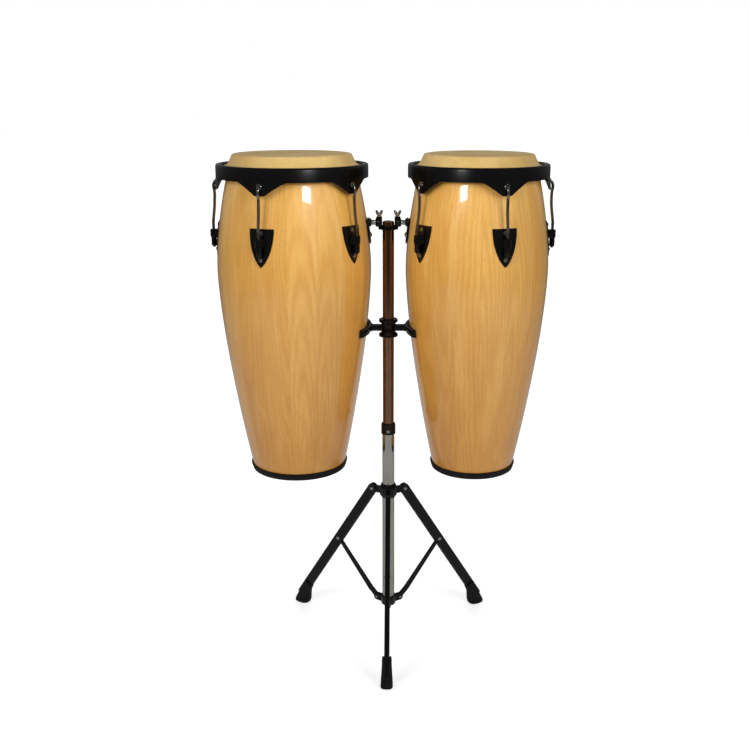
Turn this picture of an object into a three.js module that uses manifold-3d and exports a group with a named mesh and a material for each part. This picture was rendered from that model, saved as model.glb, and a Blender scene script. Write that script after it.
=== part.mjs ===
// Two conga drums, 11 inch and 10 inch, hung on one folding tripod stand.
// Millimetres, +Z up. The larger drum hangs on the left (-X) of the post, the smaller on the right (+X).
// The front leg points at -Y. An angle round an axis is counted from -Y towards +X.
import * as THREE from "three";
import { mergeVertices } from "three/addons/utils/BufferGeometryUtils.js";
import Module from "manifold-3d";

const wasm = await Module();
wasm.setup();

// ---------------------------------------------------------------- driving dimensions
const GAP = 0.4; // between pieces that touch
const ROUND = 36; // segments of a large turned piece
const SMALL_ROUND = 16; // segments of a tube or a boss
const WELD = 1e-3;

const DRUM_BOTTOM = 423; // underside of a drum's bottom ring above the floor
const DRUM_TOP = 1134; // playing surface above the floor
const BELLY_AT = 0.65; // the widest place, as a share of the shell's height
const SHELL_WALL = 11;
const SKIN = 2;
const LUGS = 5;
const POST_TO_BELLY = 38; // from the post's axis to a shell at its widest

const RIM_TOP = 1113;
const RIM_BAND = 29; // height of the rim's band between its tabs
const RIM_TAB = 27; // how far a tab reaches below the band
const RIM_WALL = 3;
const RIM_LIP = 13;
const RIM_STEPS = 14; // segments from one tab to the next
const TAB_HALF_DEG = 20;
const TAB_TIP_HALF_DEG = 3.6;
const TAB_FLARE = 3;

const ROD_R = 3.2;
const NUT_R = 6.3;
const HOOK_Z = 1076;
const BOSS_Z = 954; // underside of a lug's boss
const BOSS_HEIGHT = 17;
const BOSS_R = 7.6;
const PLATE_TOP = 991;
const PLATE_HEIGHT = 79;
const PLATE_HALF = 25;
const PLATE_THICK = 2.2;

const POST_R = 12.7;
const POST_TOP = 988;
const POST_END = 330; // lower end of the upper tube
const LOWER_R = 14.3;
const LOWER_TOP = 521;
const LOWER_END = 70;
const TUBE_WALL = 1.2;
const CLAMP_Z = 500;
const CLAMP_TOP = 526;
const CLAMP_R = 16.7;

const MOUNT_Z = 986; // axis of the two rods that carry the drums
const MOUNT_R = 5.4;
const SOCKET_R = 9.8;
const SOCKET_OUT = 28; // outer end of a socket from the post's axis
const SCREW_AT = 20; // axis of a wing screw from the post's axis
const SHANK_R = 3.8; // every wing screw's shank
const THREAD_R = 4.3; // and the bore it goes into

const SUPPORT_Z = 751; // middle of the lower support
const SUPPORT_HEIGHT = 40;
const CRADLE_HALF_DEG = 25;
const CRADLE_HEIGHT = 17;
const CRADLE_THICK = 5;
const PAD_THICK = 4;

const HUB_R = 20;
const LEG_PIVOT = [43, 356]; // radius and height
const FOOT_PIVOT = [30, 75];
const BRACE_PIVOT = [141, 204];
const LEG_DEPTH = 23;
const LEG_WIDTH = 11.6;
const LEG_WALL = 1.6;
const LEG_ABOVE = 13; // length of a leg above its pivot
const LEG_BELOW = 396; // and below it
const EAR_THICK = 7.4;
const PIN_R = 3;
const BRACE_THICK = 5;
const BRACE_HALF = 6.5;
const BRACE_END_HALF = 4.6; // where it lies in the leg's channel

const drums = [
  { side: "left", sign: -1, top: 130, belly: 169, bottom: 105, rim: 164 },
  { side: "right", sign: 1, top: 120, belly: 156.5, bottom: 91.5, rim: 152.5 },
];

// ---------------------------------------------------------------- materials
function material(color, roughness, metalness) {
  return new THREE.MeshStandardMaterial({ color, roughness, metalness });
}
const lacqueredOak = material(0xd8a758, 0.25, 0);
const rawhide = material(0xd2b265, 0.5, 0);
const blackMetal = material(0x0d0d0e, 0.3, 0.4);
const chrome = material(0xc9ccce, 0.1, 1);
const steel = material(0x8f9290, 0.3, 1);
const rubber = material(0x121212, 0.8, 0);

// ---------------------------------------------------------------- shape tools
// A closed mesh as a manifold-3d solid.
function toSolid(geometry) {
  const plain = geometry.clone();
  plain.deleteAttribute("normal");
  plain.deleteAttribute("uv");
  const merged = mergeVertices(plain, WELD);
  const vertProperties = merged.attributes.position.array;
  const triVerts = new Uint32Array(merged.index.array);
  return new wasm.Manifold(new wasm.Mesh({ numProp: 3, vertProperties, triVerts }));
}

// A manifold-3d solid as a three.js geometry.
function toGeometry(solid) {
  const mesh = solid.getMesh();
  const geometry = new THREE.BufferGeometry();
  const corners = new Float32Array(mesh.vertProperties);
  geometry.setAttribute("position", new THREE.BufferAttribute(corners, mesh.numProp));
  geometry.setIndex(new THREE.BufferAttribute(mesh.triVerts, 1));
  geometry.computeVertexNormals();
  return geometry;
}

const join = (...pieces) => toGeometry(pieces.map(toSolid).reduce((a, b) => a.add(b)));
const common = (a, b) => toGeometry(toSolid(a).intersect(toSolid(b)));

function cut(piece, ...tools) {
  return toGeometry(tools.map(toSolid).reduce((rest, tool) => rest.subtract(tool), toSolid(piece)));
}

// A profile of [radius, height] points, counterclockwise seen with the axis on the left, turned about Z.
function turned(profile, segments = ROUND) {
  const points = profile.map(([r, z]) => new THREE.Vector2(r, z));
  if (profile[0][0] > 0) points.push(points[0].clone());
  return new THREE.LatheGeometry(points, segments).rotateX(Math.PI / 2);
}

// A round bar along Z, X or Y between two places on that axis.
function barZ(radius, low, high, segments = SMALL_ROUND) {
  const bar = new THREE.CylinderGeometry(radius, radius, high - low, segments);
  return bar.rotateX(Math.PI / 2).translate(0, 0, (low + high) / 2);
}
const barX = (radius, low, high, segments) => barZ(radius, low, high, segments).rotateY(Math.PI / 2);
const barY = (radius, low, high, segments) => barZ(radius, low, high, segments).rotateX(-Math.PI / 2);

// A block between two corners.
function block([x0, y0, z0], [x1, y1, z1]) {
  const box = new THREE.BoxGeometry(x1 - x0, y1 - y0, z1 - z0);
  return box.translate((x0 + x1) / 2, (y0 + y1) / 2, (z0 + z1) / 2);
}

// An outline in the X-Z plane, made thick along Y from y = near to y = near + thick.
function slabXZ(shape, near, thick, curveSegments = 5) {
  const slab = new THREE.ExtrudeGeometry(shape, { depth: thick, bevelEnabled: false, curveSegments });
  return slab.rotateX(Math.PI / 2).translate(0, near + thick, 0);
}

// An outline of radius and height, made thick either side of the plane that holds the axis and -Y.
function slabRadial(shape, thick, curveSegments = 5) {
  const slab = new THREE.ExtrudeGeometry(shape, { depth: thick, bevelEnabled: false, curveSegments });
  return slab.translate(0, 0, -thick / 2).rotateX(Math.PI / 2).rotateZ(-Math.PI / 2);
}

// The outline of a straight bar with round ends about two points, half as wide as each end says.
function linkShape([r0, z0], [r1, z1], half, farHalf = half) {
  const along = Math.atan2(z1 - z0, r1 - r0);
  const shape = new THREE.Shape();
  shape.absarc(r1, z1, farHalf, along - Math.PI / 2, along + Math.PI / 2);
  shape.absarc(r0, z0, half, along + Math.PI / 2, along + (3 * Math.PI) / 2);
  return shape;
}

// A round bar of the given radius along a smooth curve through the points.
function barAlong(points, radius, steps, sides) {
  const section = new THREE.Shape();
  section.absarc(0, 0, radius, 0, 2 * Math.PI);
  const extrudePath = new THREE.CatmullRomCurve3(points.map((p) => new THREE.Vector3(...p)));
  return new THREE.ExtrudeGeometry(section, { steps, curveSegments: sides / 2, extrudePath });
}

// A wing screw on the Z axis: its tip at z = 0, its shank, its round body and two rising wings.
function wingScrew({ body, bodyLow, bodyHigh, spread, top, thick }) {
  const wings = new THREE.Shape();
  wings.moveTo(-body * 0.7, bodyLow + 2);
  wings.lineTo(body * 0.7, bodyLow + 2);
  wings.quadraticCurveTo(spread * 0.8, bodyHigh - 2, spread, top - 3);
  wings.absarc(spread - 3, top - 3, 3, 0, Math.PI);
  wings.quadraticCurveTo(body * 0.4, bodyHigh, 0, bodyHigh - 1);
  wings.quadraticCurveTo(-body * 0.4, bodyHigh, -spread + 6, top - 3);
  wings.absarc(3 - spread, top - 3, 3, 0, Math.PI);
  wings.quadraticCurveTo(-spread * 0.8, bodyHigh - 2, -body * 0.7, bodyLow + 2);
  const shank = barZ(SHANK_R, 0, bodyLow + 1, 12);
  const hub = barZ(body, bodyLow, bodyHigh, 16);
  return join(shank, hub, slabXZ(wings, -thick / 2, thick));
}

// ---------------------------------------------------------------- the drum
const SHELL_LOW = DRUM_BOTTOM + 3;
const SHELL_HIGH = DRUM_TOP - SKIN - GAP;

// Outer radius of a drum's shell at a height: widest at BELLY_AT, falling faster the further from it.
function shellRadius(drum, z) {
  const t = (z - SHELL_LOW) / (SHELL_HIGH - SHELL_LOW);
  if (t < BELLY_AT) return drum.belly - (drum.belly - drum.bottom) * ((BELLY_AT - t) / BELLY_AT) ** 1.5;
  return drum.belly - (drum.belly - drum.top) * ((t - BELLY_AT) / (1 - BELLY_AT)) ** 1.75;
}

// Points down (or up) a drum's wall, moved outwards by offset.
function wallLine(drum, from, to, steps, offset) {
  return Array.from({ length: steps + 1 }, (_, i) => {
    const z = from + ((to - from) * i) / steps;
    return [shellRadius(drum, z) + offset, z];
  });
}

function shell(drum) {
  const edge = 9; // the bearing edge is rounded over this height
  return turned([
    ...wallLine(drum, SHELL_LOW, SHELL_HIGH - 2 * edge, 9, 0),
    [drum.top - 1, SHELL_HIGH - edge],
    [drum.top - 4.5, SHELL_HIGH - 2.5],
    [drum.top - 9, SHELL_HIGH],
    [drum.top - 12, SHELL_HIGH - 3],
    ...wallLine(drum, SHELL_HIGH - 2 * edge, SHELL_LOW, 6, -SHELL_WALL),
  ]);
}

function bottomRing(drum) {
  const r = drum.bottom + GAP;
  const slope = shellRadius(drum, SHELL_LOW + 13) - drum.bottom;
  return turned([
    [r - 13, DRUM_BOTTOM],
    [r + 2, DRUM_BOTTOM],
    [r + slope + 3, DRUM_BOTTOM + 16],
    [r + slope, DRUM_BOTTOM + 16],
    [r, SHELL_LOW - GAP],
    [r - 13, SHELL_LOW - GAP],
  ]);
}

// The skin: a flat playing face, a rounded collar, and a flange that runs out over the flesh hoop.
function skinLine(drum, inset) {
  const hoop = drum.rim - RIM_LIP + 2;
  return [
    [drum.top - 8, DRUM_TOP - inset],
    [drum.top - 1.5 - inset * 0.4, DRUM_TOP - 2.2 - inset],
    [drum.top + 3 - inset * 0.8, DRUM_TOP - 12 - inset * 0.4],
    [drum.top + 10 - inset, DRUM_TOP - 23 - inset * 0.3],
    [hoop - 2, RIM_TOP - 5.4 - inset],
    [hoop + 4 - inset * 0.4, RIM_TOP - 6.5 - inset],
    [hoop + 6 - inset, RIM_TOP - 9],
  ];
}

function head(drum) {
  const hoop = drum.rim - RIM_LIP + 2;
  return turned([
    [0, DRUM_TOP - SKIN],
    ...skinLine(drum, SKIN),
    [hoop + 6 - SKIN, RIM_TOP - 16],
    [hoop + 6, RIM_TOP - 16],
    ...skinLine(drum, 0).reverse(),
    [0, DRUM_TOP],
  ]);
}

// How far down its tab the rim's lower edge lies, from 0 to 1, at an angle from the middle of the tab.
function tabShare(degrees) {
  const share = (TAB_HALF_DEG - Math.abs(degrees)) / (TAB_HALF_DEG - TAB_TIP_HALF_DEG);
  return Math.max(0.03, Math.min(1, share) ** 1.25 || 0);
}

// The counterhoop: a lip over the flesh hoop, a band, and a pointed tab with a hook hole above each lug.
function rim(drum) {
  const low = RIM_TOP - RIM_BAND;
  const tip = low - RIM_TAB;
  const inner = drum.rim - RIM_WALL;
  const band = turned(
    [
      [drum.rim - RIM_LIP, RIM_TOP - 4.9],
      [inner, RIM_TOP - 4.9],
      [inner, low],
      [inner, tip],
      [drum.rim, tip],
      [drum.rim, low],
      [drum.rim, RIM_TOP - 3],
      [drum.rim - 3, RIM_TOP],
      [drum.rim - RIM_LIP + 1, RIM_TOP],
    ],
    LUGS * RIM_STEPS,
  );
  const place = band.attributes.position;
  for (let i = 0; i < place.count; i++) {
    const [x, y, z] = [place.getX(i), place.getY(i), place.getZ(i)];
    if (z > tip + 1) continue;
    const between = 360 / LUGS;
    const turn = THREE.MathUtils.radToDeg(Math.atan2(x, -y));
    const share = tabShare(turn - between * Math.round(turn / between));
    const out = 1 + (TAB_FLARE * share) / drum.rim;
    place.setXYZ(i, x * out, y * out, low - RIM_TAB * share);
  }
  const holes = lugAngles(0).map((angle) => {
    const hole = barY(ROD_R + 1, -drum.rim - 20, -drum.rim + 20, 12);
    return hole.translate(0, 0, HOOK_Z).rotateZ(angle);
  });
  return cut(band, ...holes);
}

// The angles of a drum's lugs, in radians, from the first one.
function lugAngles(first) {
  return Array.from({ length: LUGS }, (_, i) => first + (i * 2 * Math.PI) / LUGS);
}

// Radius of the straight part of a tension rod, so that its nut turns clear of the lug's plate.
const rodRadius = (drum) => shellRadius(drum, BOSS_Z - 20) + PLATE_THICK + 2 * GAP + NUT_R;

// A shield-shaped plate that lies on the shell, with a bored boss. It is made at -Y.
function lugPlate(drum) {
  const shield = new THREE.Shape();
  shield.moveTo(-PLATE_HALF, PLATE_TOP);
  shield.quadraticCurveTo(-PLATE_HALF, PLATE_TOP - 34, -15, PLATE_TOP - 56);
  shield.quadraticCurveTo(-8, PLATE_TOP - 69, 0, PLATE_TOP - PLATE_HEIGHT);
  shield.quadraticCurveTo(8, PLATE_TOP - 69, 15, PLATE_TOP - 56);
  shield.quadraticCurveTo(PLATE_HALF, PLATE_TOP - 34, PLATE_HALF, PLATE_TOP);
  shield.closePath();
  const low = PLATE_TOP - PLATE_HEIGHT - 2;
  const skin = turned(
    [
      ...wallLine(drum, low, PLATE_TOP + 2, 4, GAP + PLATE_THICK),
      ...wallLine(drum, PLATE_TOP + 2, low, 4, GAP),
    ],
    2 * ROUND,
  );
  const plate = common(slabXZ(shield, -drum.belly - 20, 60, 3), skin);
  const r = rodRadius(drum);
  const root = shellRadius(drum, BOSS_Z) + GAP + 1;
  const plan = new THREE.Shape();
  plan.moveTo(BOSS_R + 2, -root);
  plan.lineTo(-BOSS_R - 2, -root);
  plan.absarc(0, -r, BOSS_R, Math.PI, 2 * Math.PI);
  const depth = BOSS_HEIGHT;
  const boss = new THREE.ExtrudeGeometry(plan, { depth, bevelEnabled: false, curveSegments: 6 });
  const bore = barZ(ROD_R + 0.6, BOSS_Z - 5, PLATE_TOP + 5, 12).translate(0, -r, 0);
  const screwZ = PLATE_TOP - 62;
  const screwOut = shellRadius(drum, screwZ) + GAP + PLATE_THICK + 1.6;
  const screw = barY(3.5, 0, 3, 8).translate(0, -screwOut, screwZ);
  return cut(join(plate, boss.translate(0, 0, BOSS_Z), screw), bore);
}

// A tension rod: hooked through the rim's tab, bent in towards the shell, down through the boss to its nut.
function tensionRod(drum) {
  const hook = drum.rim + TAB_FLARE + ROD_R + 2;
  const straight = rodRadius(drum);
  return barAlong(
    [
      [0, -drum.rim + 7, HOOK_Z - 1],
      [0, -drum.rim - 1, HOOK_Z],
      [0, -hook + 2, HOOK_Z - 4],
      [0, -hook, HOOK_Z - 12],
      [0, -hook + 2, HOOK_Z - 26],
      [0, -straight + 5, HOOK_Z - 42],
      [0, -straight + 4, HOOK_Z - 58],
      [0, -straight, HOOK_Z - 88],
      [0, -straight, BOSS_Z + BOSS_HEIGHT],
      [0, -straight, BOSS_Z - 22],
    ],
    ROD_R,
    18,
    6,
  );
}

// The hexagon nut under a lug's boss that pulls its rod down.
function tuningNut(drum) {
  const hexagon = barZ(NUT_R, BOSS_Z - 19, BOSS_Z - GAP, 6);
  return cut(hexagon, barZ(ROD_R + 0.3, BOSS_Z - 20, BOSS_Z, 10)).translate(0, -rodRadius(drum), 0);
}

// The plate on the shell, its socket, its bolt, and the short rod that goes into the post's socket.
// It is made at -Y, like a lug.
function mountPlate(drum) {
  const [low, high, half] = [MOUNT_Z - 46, MOUNT_Z + 8, 22];
  const shape = new THREE.Shape();
  shape.moveTo(-half, high);
  shape.lineTo(-half, low + 16);
  shape.quadraticCurveTo(-half + 4, low, 0, low);
  shape.quadraticCurveTo(half - 4, low, half, low + 16);
  shape.lineTo(half, high);
  shape.closePath();
  const skin = turned(
    [...wallLine(drum, low - 2, high + 2, 4, GAP + 3.5), ...wallLine(drum, high + 2, low - 2, 4, GAP)],
    2 * ROUND,
  );
  const face = drum.belly + POST_TO_BELLY; // the post's axis, seen from the drum's
  const wall = shellRadius(drum, MOUNT_Z - SOCKET_R) + GAP + 0.6;
  const socket = barY(SOCKET_R - 1, -face + SOCKET_OUT + 9, -wall, 16).translate(0, 0, MOUNT_Z);
  const boltZ = MOUNT_Z - 27;
  const boltAt = shellRadius(drum, boltZ);
  const bolt = barY(5, -boltAt - 10, -boltAt - 2, 10).translate(0, 0, boltZ);
  const rod = barY(MOUNT_R, -face + 14.5, -wall - 1, 16).translate(0, 0, MOUNT_Z);
  const plate = common(slabXZ(shape, -drum.belly - 20, 60, 4), skin);
  return join(plate, socket, rod, bolt);
}

// ---------------------------------------------------------------- the post
function tube(radius, low, high) {
  return turned(
    [
      [radius - TUBE_WALL, low],
      [radius, low],
      [radius, high],
      [radius - TUBE_WALL, high],
    ],
    24,
  );
}

// The casting on the post's top: a sleeve with a bored socket on each side.
function crossHead() {
  const sleeve = turned(
    [
      [POST_R + 0.3, MOUNT_Z - 16],
      [POST_R + 4, MOUNT_Z - 16],
      [POST_R + 4, MOUNT_Z - 6],
      [POST_R + 0.3, MOUNT_Z - 6],
    ],
    24,
  );
  const sides = [-1, 1].map((s) => {
    const socket = barX(SOCKET_R, POST_R + 0.8, SOCKET_OUT, 16).translate(0, 0, MOUNT_Z);
    const collar = barZ(6.5, MOUNT_Z, MOUNT_Z + 13, 14).translate(SCREW_AT, 0, 0);
    const side = join(socket, collar);
    return s < 0 ? side.rotateZ(Math.PI) : side;
  });
  const bores = [-1, 1].map((s) => {
    const bore = barX(MOUNT_R + 0.6, POST_R + 1.2, SOCKET_OUT + 5, 16).translate(0, 0, MOUNT_Z);
    const thread = barZ(THREAD_R, MOUNT_Z, MOUNT_Z + 20, 12).translate(SCREW_AT, 0, 0);
    const tool = join(bore, thread);
    return s < 0 ? tool.rotateZ(Math.PI) : tool;
  });
  return cut(join(sleeve, ...sides), ...bores, barZ(POST_R + 0.3, MOUNT_Z - 20, MOUNT_Z + 20, 24));
}

// ---------------------------------------------------------------- the lower support
// A spool on the post with an arm to each side that ends in a curved cradle.
function supportBracket() {
  const [low, high] = [SUPPORT_Z - SUPPORT_HEIGHT / 2, SUPPORT_Z + SUPPORT_HEIGHT / 2];
  const spool = turned(
    [
      [POST_R + 0.4, low],
      [POST_R + 8, low],
      [POST_R + 8.5, low + 5],
      [POST_R + 3, low + 11],
      [POST_R + 3, high - 11],
      [POST_R + 8.5, high - 5],
      [POST_R + 8, high],
      [POST_R + 0.4, high],
    ],
    28,
  );
  const sides = drums.map((drum) => {
    const centre = drum.belly + POST_TO_BELLY;
    const r = shellRadius(drum, SUPPORT_Z) + GAP + PAD_THICK + GAP;
    const arm = block([POST_R + 2, -7, SUPPORT_Z - 7], [centre - r - 2, 7, SUPPORT_Z + 7]);
    const side = join(arm, arcBand(r, CRADLE_THICK, CRADLE_HEIGHT, leanAt(drum)).translate(centre, 0, 0));
    return drum.sign < 0 ? side.rotateZ(Math.PI) : side;
  });
  const thread = barY(7, POST_R + 1, POST_R + 12, 14).translate(0, 0, SUPPORT_Z);
  const bore = barY(THREAD_R, POST_R - 3, POST_R + 20, 12).translate(0, 0, SUPPORT_Z);
  return cut(join(spool, ...sides, thread), bore, barZ(POST_R + 0.4, low - 5, high + 5, 24));
}

// How far a shell's wall leans out per millimetre of height at the support.
const leanAt = (drum) => (shellRadius(drum, SUPPORT_Z + 10) - shellRadius(drum, SUPPORT_Z - 10)) / 20;

// A curved strip that hugs a leaning round wall on its -X side.
function arcBand(radius, thick, height, lean) {
  const [low, high] = [SUPPORT_Z - height / 2, SUPPORT_Z + height / 2];
  const ring = turned(
    [
      [radius - (lean * height) / 2, low],
      [radius + thick - (lean * height) / 2, low],
      [radius + thick + (lean * height) / 2, high],
      [radius + (lean * height) / 2, high],
    ],
    3 * ROUND,
  );
  const reach = radius + 40;
  const wedge = new THREE.Shape();
  wedge.moveTo(0, 0);
  wedge.lineTo(-reach, -reach * Math.tan(THREE.MathUtils.degToRad(CRADLE_HALF_DEG)));
  wedge.lineTo(-reach, reach * Math.tan(THREE.MathUtils.degToRad(CRADLE_HALF_DEG)));
  const sector = new THREE.ExtrudeGeometry(wedge, { depth: height + 10, bevelEnabled: false });
  return common(ring, sector.translate(0, 0, low - 5));
}

// ---------------------------------------------------------------- the tripod
function heightClamp() {
  const body = turned(
    [
      [LOWER_R + 0.3, CLAMP_Z],
      [CLAMP_R, CLAMP_Z],
      [CLAMP_R, CLAMP_TOP - 1],
      [CLAMP_R - 1, CLAMP_TOP],
      [POST_R + 0.4, CLAMP_TOP],
      [POST_R + 0.4, LOWER_TOP + 0.4],
      [LOWER_R + 0.3, LOWER_TOP + 0.4],
    ],
    24,
  );
  const lug = barY(7, LOWER_R + 1, LOWER_R + 12, 14).translate(0, 0, CLAMP_Z + 12);
  const bore = barY(THREAD_R, LOWER_R - 3, LOWER_R + 20, 12).translate(0, 0, CLAMP_Z + 12);
  return cut(join(body, lug), bore, barZ(LOWER_R + 0.3, CLAMP_Z - 5, LOWER_TOP + 0.4, 24));
}

function legHub() {
  const [low, high] = [LEG_PIVOT[1] - 14, LEG_PIVOT[1] + 20];
  const sleeve = turned(
    [
      [LOWER_R + 0.4, low],
      [HUB_R - 5, low],
      [HUB_R, low + 7],
      [HUB_R, high - 8],
      [HUB_R - 3, high],
      [LOWER_R + 0.4, high],
    ],
    28,
  );
  const ears = legAngles.map((a) => {
    const ear = slabRadial(linkShape([HUB_R - 2, LEG_PIVOT[1]], LEG_PIVOT, 8.3), EAR_THICK, 4);
    return cut(ear, pivotPin(LEG_PIVOT, 0.4)).rotateZ(a);
  });
  const lug = barY(7.5, HUB_R - 3, HUB_R + 8, 14).translate(0, 0, LEG_PIVOT[1]);
  const bore = barY(THREAD_R, LOWER_R - 3, HUB_R + 20, 12).translate(0, 0, LEG_PIVOT[1]);
  return cut(join(sleeve, ...ears, lug), bore, barZ(LOWER_R + 0.4, low - 5, high + 5, 24));
}

// The three legs: one to the front, two to the back.
const legAngles = [0, 1, 2].map((i) => (i * 2 * Math.PI) / 3);

// A pin across the plane of a leg at -Y, at a radius and height.
function pivotPin([r, z], extra = 0, length = 40) {
  return barX(PIN_R + extra, -length / 2, length / 2, 12).translate(0, -r, z);
}

// The leg's direction, down and out from its pivot.
const legLean = Math.atan2(BRACE_PIVOT[0] - LEG_PIVOT[0], LEG_PIVOT[1] - BRACE_PIVOT[1]);

// A piece made hanging straight down from z = 0 on the axis, moved to the leg's pivot and leaned out at -Y.
const onLeg = (geometry) => geometry.rotateX(-legLean).translate(0, -LEG_PIVOT[0], LEG_PIVOT[1]);

// The leg's outer shape, hanging straight down: its round top, its web on the outside, its end.
function legBody(width, depth, below) {
  const outline = new THREE.Shape();
  outline.moveTo(-depth / 2, -below);
  outline.lineTo(depth / 2, -below);
  outline.lineTo(depth / 2, 0);
  outline.absarc(0, 0, depth / 2, 0, Math.PI);
  outline.closePath();
  return slabRadial(outline, width, 6);
}

// A pressed channel, open towards the post, with its pivot pin and the heads of the brace's rivet.
function leg() {
  const room = LEG_WIDTH - 2 * LEG_WALL;
  const channel = block(
    [-room / 2, -LEG_DEPTH / 2 + LEG_WALL, -LEG_BELOW - 5],
    [room / 2, LEG_DEPTH, LEG_ABOVE + 5],
  );
  const along = Math.hypot(BRACE_PIVOT[0] - LEG_PIVOT[0], BRACE_PIVOT[1] - LEG_PIVOT[1]);
  const rivets = [-1, 1].map((s) => {
    const head = barX(4.2, LEG_WIDTH / 2 - 1, LEG_WIDTH / 2 + 1.6, 12);
    return (s < 0 ? head.rotateZ(Math.PI) : head).translate(0, 0, -along);
  });
  const pin = barX(PIN_R, -LEG_WIDTH / 2 - 1, LEG_WIDTH / 2 + 1, 12);
  const heads = [-1, 1].map((s) => {
    const head = barX(4.6, LEG_WIDTH / 2 - 1, LEG_WIDTH / 2 + 1.8, 12);
    return s < 0 ? head.rotateZ(Math.PI) : head;
  });
  const walls = cut(legBody(LEG_WIDTH, LEG_DEPTH, LEG_BELOW), channel);
  return onLeg(join(walls, pin, ...heads, ...rivets));
}

// A flat link from the foot hub to the leg, bent a little near its lower end.
function brace() {
  const knee = [FOOT_PIVOT[0] + 19, FOOT_PIVOT[1] + 17];
  const lower = slabRadial(linkShape(FOOT_PIVOT, knee, BRACE_HALF), BRACE_THICK, 4);
  const upper = slabRadial(linkShape(knee, BRACE_PIVOT, BRACE_HALF, BRACE_END_HALF), BRACE_THICK, 4);
  return cut(join(lower, upper), pivotPin(FOOT_PIVOT, 0.4));
}

function footHub() {
  const [low, high] = [FOOT_PIVOT[1] - 12, FOOT_PIVOT[1] + 12];
  const cup = turned(
    [
      [0, low],
      [LOWER_R - 1, low],
      [LOWER_R + 3, low + 4],
      [LOWER_R + 3.5, high],
      [LOWER_R + 0.3, high],
      [LOWER_R + 0.3, LOWER_END - 0.4],
      [0, LOWER_END - 0.4],
    ],
    24,
  );
  const ears = legAngles.map((a) => {
    const ear = slabRadial(linkShape([LOWER_R + 1, FOOT_PIVOT[1] - 1], FOOT_PIVOT, 7.6), 12, 3);
    const half = BRACE_THICK / 2 + 0.5;
    const slot = block([-half, -FOOT_PIVOT[0] - 30, low - 20], [half, -FOOT_PIVOT[0] + 8.5, high + 20]);
    return join(cut(ear, slot), pivotPin(FOOT_PIVOT, 0, 14)).rotateZ(a);
  });
  return cut(join(cup, ...ears), barZ(LOWER_R + 0.3, LOWER_END - 0.4, high + 5, 24));
}

// A rubber boot on the leg's end, wider towards the floor, with a flat sole.
function foot() {
  const heel = [LEG_PIVOT[0] + Math.sin(legLean) * LEG_BELOW, LEG_PIVOT[1] - Math.cos(legLean) * LEG_BELOW];
  const [r, z] = heel; // the middle of the leg's end
  const shape = new THREE.Shape();
  shape.moveTo(r - 17, 0);
  shape.lineTo(r + 13, 0);
  shape.quadraticCurveTo(r + 19, 1, r + 16.5, 8);
  shape.lineTo(r - 12, z + 42);
  shape.lineTo(r - 35, z + 31);
  shape.quadraticCurveTo(r - 24, z + 12, r - 24.5, 10);
  shape.quadraticCurveTo(r - 24, 2, r - 17, 0);
  const boot = slabRadial(shape, 22, 5);
  const place = boot.attributes.position;
  for (let i = 0; i < place.count; i++) {
    const spread = 1.26 - (place.getZ(i) / (z + 42)) * 0.34;
    place.setX(i, place.getX(i) * spread);
  }
  const socket = onLeg(legBody(LEG_WIDTH + 2 * GAP, LEG_DEPTH + 2 * GAP, LEG_BELOW + GAP));
  return cut(boot, socket);
}

// ---------------------------------------------------------------- assembly
const stand = new THREE.Group();

function add(parent, name, geometry, look, angle = 0) {
  const mesh = new THREE.Mesh(geometry, look);
  mesh.name = name;
  mesh.rotation.z = angle;
  parent.add(mesh);
  return mesh;
}

// Each drum: its mount plate faces the post, midway between two lugs.
for (const drum of drums) {
  const group = new THREE.Group();
  group.position.x = drum.sign * (drum.belly + POST_TO_BELLY);
  stand.add(group);
  const toPost = (-drum.sign * Math.PI) / 2;
  const first = toPost + Math.PI / LUGS;
  const name = (piece) => `${drum.side}_${piece}`;
  add(group, name("shell"), shell(drum), lacqueredOak);
  add(group, name("bottom_ring"), bottomRing(drum), rubber);
  add(group, name("head"), head(drum), rawhide);
  add(group, name("rim"), rim(drum), blackMetal, first);
  const [plate, rod, nut] = [lugPlate(drum), tensionRod(drum), tuningNut(drum)];
  lugAngles(first).forEach((angle, i) => {
    add(group, name(`lug_plate_${i + 1}`), plate, blackMetal, angle);
    add(group, name(`tension_rod_${i + 1}`), rod, steel, angle);
    add(group, name(`tuning_nut_${i + 1}`), nut, blackMetal, angle);
  });
  add(group, name("mount_plate"), mountPlate(drum), blackMetal, toPost);
}

add(stand, "upper_tube", tube(POST_R, POST_END, POST_TOP), chrome);
add(stand, "cross_head", crossHead(), blackMetal);
add(stand, "support_bracket", supportBracket(), blackMetal);
add(stand, "lower_tube", tube(LOWER_R, LOWER_END, LOWER_TOP), chrome);
add(stand, "height_clamp", heightClamp(), blackMetal);
add(stand, "leg_hub", legHub(), blackMetal);
add(stand, "foot_hub", footHub(), blackMetal);

// The wing screws that hold the drums' rods stand upright; the others lie at the back of what they clamp.
const rodScrew = wingScrew({ body: 5, bodyLow: 8.5, bodyHigh: 13, spread: 8.5, top: 21, thick: 3.2 });
for (const drum of drums) {
  const screw = add(stand, `${drum.side}_wing_screw`, rodScrew, steel);
  screw.position.set(drum.sign * (SCREW_AT), 0, MOUNT_Z + MOUNT_R + 0.4);
}
const backScrew = wingScrew({ body: 6, bodyLow: 13, bodyHigh: 19, spread: 15, top: 27, thick: 3.6 });
backScrew.rotateX(-Math.PI / 2);
add(stand, "height_screw", backScrew, steel).position.set(0, LOWER_R + 0.4, CLAMP_Z + 12);
add(stand, "hub_screw", backScrew, steel).position.set(0, LOWER_R + 0.8, LEG_PIVOT[1]);

const [legShape, braceShape, footShape] = [leg(), brace(), foot()];
["front", "right", "left"].forEach((side, i) => {
  add(stand, `${side}_leg`, legShape, blackMetal, legAngles[i]);
  add(stand, `${side}_brace`, braceShape, blackMetal, legAngles[i]);
  add(stand, `${side}_foot`, footShape, rubber, legAngles[i]);
});

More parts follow.
